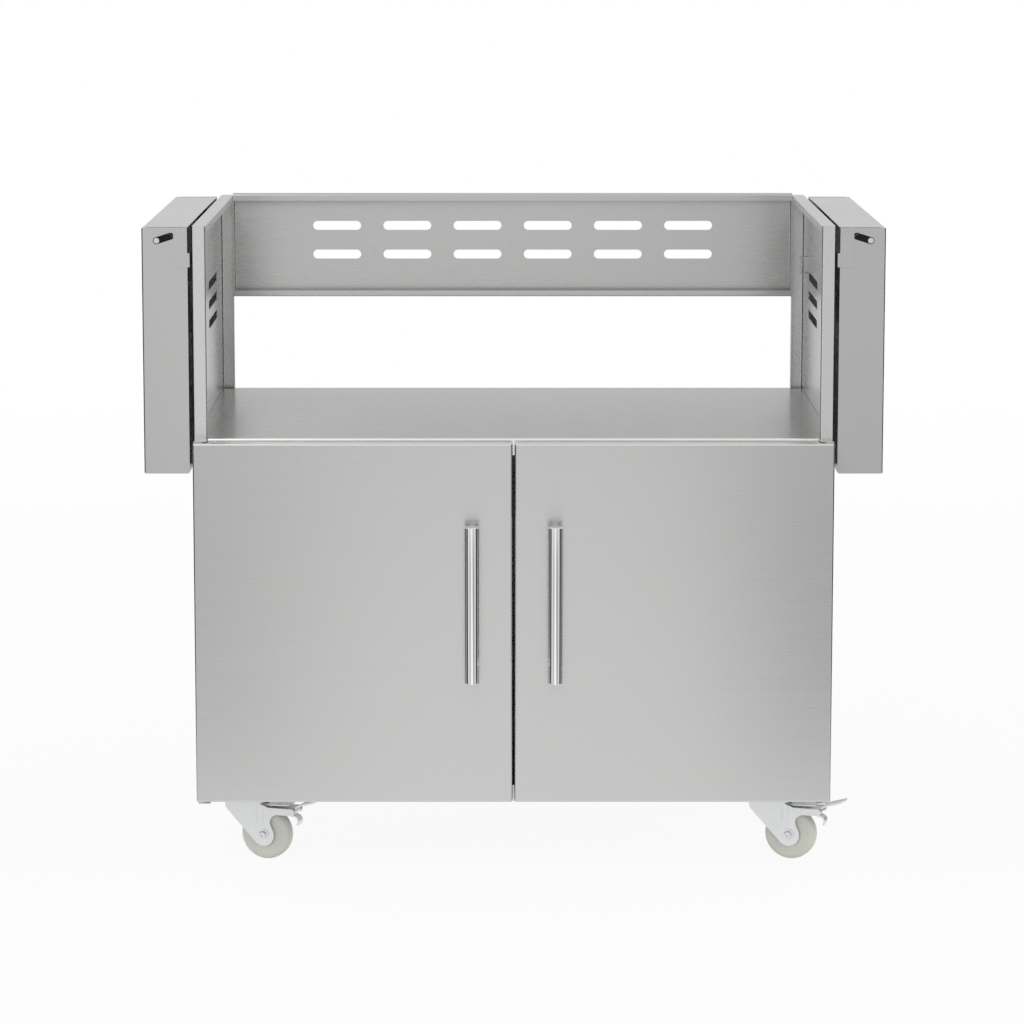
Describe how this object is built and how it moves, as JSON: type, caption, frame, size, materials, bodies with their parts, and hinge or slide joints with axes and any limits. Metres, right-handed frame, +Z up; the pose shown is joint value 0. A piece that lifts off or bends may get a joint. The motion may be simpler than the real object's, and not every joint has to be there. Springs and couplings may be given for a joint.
{
  "type": "grill cart",
  "caption": "Stainless steel cart for a drop-in grill: open slotted cradle over a two-door cabinet, drop-leaf side shelves and swivel casters with brakes.",
  "frame": {"origin": "on the floor under the middle of the cart, half-way between the handle bars' front and the back", "axes": "+X to the right as seen from the doors, +Y from the doors to the back, +Z up"},
  "size_m": [1.056, 0.6685, 0.937],
  "materials": {
    "brushed_steel": "brushed stainless steel sheet",
    "polished_steel": "polished bar",
    "zinc_plate": "bright zinc plating",
    "white_nylon": "moulded nylon",
    "black_rubber": "moulded",
    "dark_steel": "dark coated"
  },
  "bodies": {
    "cart": {"left_side_panel": "brushed_steel", "right_side_panel": "brushed_steel", "upper_back_panel": "brushed_steel", "lower_back_panel": "brushed_steel", "deck": "brushed_steel", "cabinet_floor": "brushed_steel", "door_catch": "dark_steel", "hose_clip": "brushed_steel", "left_door_hinges": "brushed_steel", "right_door_hinges": "brushed_steel", "left_front_bracket": "brushed_steel", "left_rear_bracket": "brushed_steel", "right_front_bracket": "brushed_steel", "right_rear_bracket": "brushed_steel", "left_bumpers": "black_rubber", "right_bumpers": "black_rubber", "front_left_plate": "zinc_plate", "front_right_plate": "zinc_plate", "back_left_plate": "zinc_plate", "back_right_plate": "zinc_plate", "caster_bolts": "zinc_plate"},
    "left_door": {"left_door": "brushed_steel", "left_door_liner": "brushed_steel", "left_door_bushings": "white_nylon", "left_door_strike": "dark_steel", "left_handle": "polished_steel", "left_handle_posts": "polished_steel", "left_handle_screws": "zinc_plate"},
    "left_shelf_pivot": {"left_shelf_pins": "zinc_plate"},
    "left_shelf": {"left_shelf": "brushed_steel", "left_shelf_rib": "brushed_steel"},
    "right_door": {"right_door": "brushed_steel", "right_door_liner": "brushed_steel", "right_door_bushings": "white_nylon", "right_door_strike": "dark_steel", "right_handle": "polished_steel", "right_handle_posts": "polished_steel", "right_handle_screws": "zinc_plate"},
    "right_shelf_pivot": {"right_shelf_pins": "zinc_plate"},
    "right_shelf": {"right_shelf": "brushed_steel", "right_shelf_rib": "brushed_steel"},
    "front_left_fork": {"front_left_fork": "zinc_plate", "front_left_axle": "zinc_plate"},
    "front_left_wheel": {"front_left_wheel": "white_nylon"},
    "front_left_pedal": {"front_left_pedal": "zinc_plate"},
    "front_right_fork": {"front_right_fork": "zinc_plate", "front_right_axle": "zinc_plate"},
    "front_right_wheel": {"front_right_wheel": "white_nylon"},
    "front_right_pedal": {"front_right_pedal": "zinc_plate"},
    "back_left_fork": {"back_left_fork": "zinc_plate", "back_left_axle": "zinc_plate"},
    "back_left_wheel": {"back_left_wheel": "white_nylon"},
    "back_right_fork": {"back_right_fork": "zinc_plate", "back_right_axle": "zinc_plate"},
    "back_right_wheel": {"back_right_wheel": "white_nylon"}
  },
  "joints": [
    {"name": "left_door_hinge", "type": "hinge", "parent": "cart", "child": "left_door", "pos_m": [-0.4495, -0.28025, 0.365], "axis": [0, 0, -1], "range_deg": [0, 110]},
    {"name": "left_shelf_fold", "type": "hinge", "parent": "cart", "child": "left_shelf_pivot", "pos_m": [-0.5065, 0, 0.9125], "axis": [0, 1, 0], "range_deg": [0, 90]},
    {"name": "left_shelf_lift", "type": "slide", "parent": "left_shelf_pivot", "child": "left_shelf", "axis": [-0.9511, 0, -0.309], "range_m": [0, 0.021]},
    {"name": "right_door_hinge", "type": "hinge", "parent": "cart", "child": "right_door", "pos_m": [0.4495, -0.28025, 0.365], "axis": [0, 0, 1], "range_deg": [0, 110]},
    {"name": "right_shelf_fold", "type": "hinge", "parent": "cart", "child": "right_shelf_pivot", "pos_m": [0.5065, 0, 0.9125], "axis": [0, -1, 0], "range_deg": [0, 90]},
    {"name": "right_shelf_lift", "type": "slide", "parent": "right_shelf_pivot", "child": "right_shelf", "axis": [0.9511, 0, -0.309], "range_m": [0, 0.021]},
    {"name": "front_left_swivel", "type": "hinge", "parent": "cart", "child": "front_left_fork", "pos_m": [-0.384, -0.18975, 0.09], "axis": [0, 0, 1], "continuous": true},
    {"name": "front_left_roll", "type": "hinge", "parent": "front_left_fork", "child": "front_left_wheel", "pos_m": [-0.36036, -0.19789, 0.038], "axis": [0.3256, 0.9455, 0], "continuous": true},
    {"name": "front_left_brake", "type": "hinge", "parent": "front_left_fork", "child": "front_left_pedal", "pos_m": [-0.31923, -0.21205, 0.074], "axis": [0.3256, 0.9455, 0], "range_deg": [0, 41]},
    {"name": "front_right_swivel", "type": "hinge", "parent": "cart", "child": "front_right_fork", "pos_m": [0.384, -0.18975, 0.09], "axis": [0, 0, 1], "continuous": true},
    {"name": "front_right_roll", "type": "hinge", "parent": "front_right_fork", "child": "front_right_wheel", "pos_m": [0.40764, -0.19789, 0.038], "axis": [0.3256, 0.9455, 0], "continuous": true},
    {"name": "front_right_brake", "type": "hinge", "parent": "front_right_fork", "child": "front_right_pedal", "pos_m": [0.44877, -0.21205, 0.074], "axis": [0.3256, 0.9455, 0], "range_deg": [0, 41]},
    {"name": "back_left_swivel", "type": "hinge", "parent": "cart", "child": "back_left_fork", "pos_m": [-0.384, 0.25825, 0.09], "axis": [0, 0, 1], "continuous": true},
    {"name": "back_left_roll", "type": "hinge", "parent": "back_left_fork", "child": "back_left_wheel", "pos_m": [-0.36036, 0.25011, 0.038], "axis": [0.3256, 0.9455, 0], "continuous": true},
    {"name": "back_right_swivel", "type": "hinge", "parent": "cart", "child": "back_right_fork", "pos_m": [0.384, 0.25825, 0.09], "axis": [0, 0, 1], "continuous": true},
    {"name": "back_right_roll", "type": "hinge", "parent": "back_right_fork", "child": "back_right_wheel", "pos_m": [0.40764, 0.25011, 0.038], "axis": [0.3256, 0.9455, 0], "continuous": true}
  ]
}
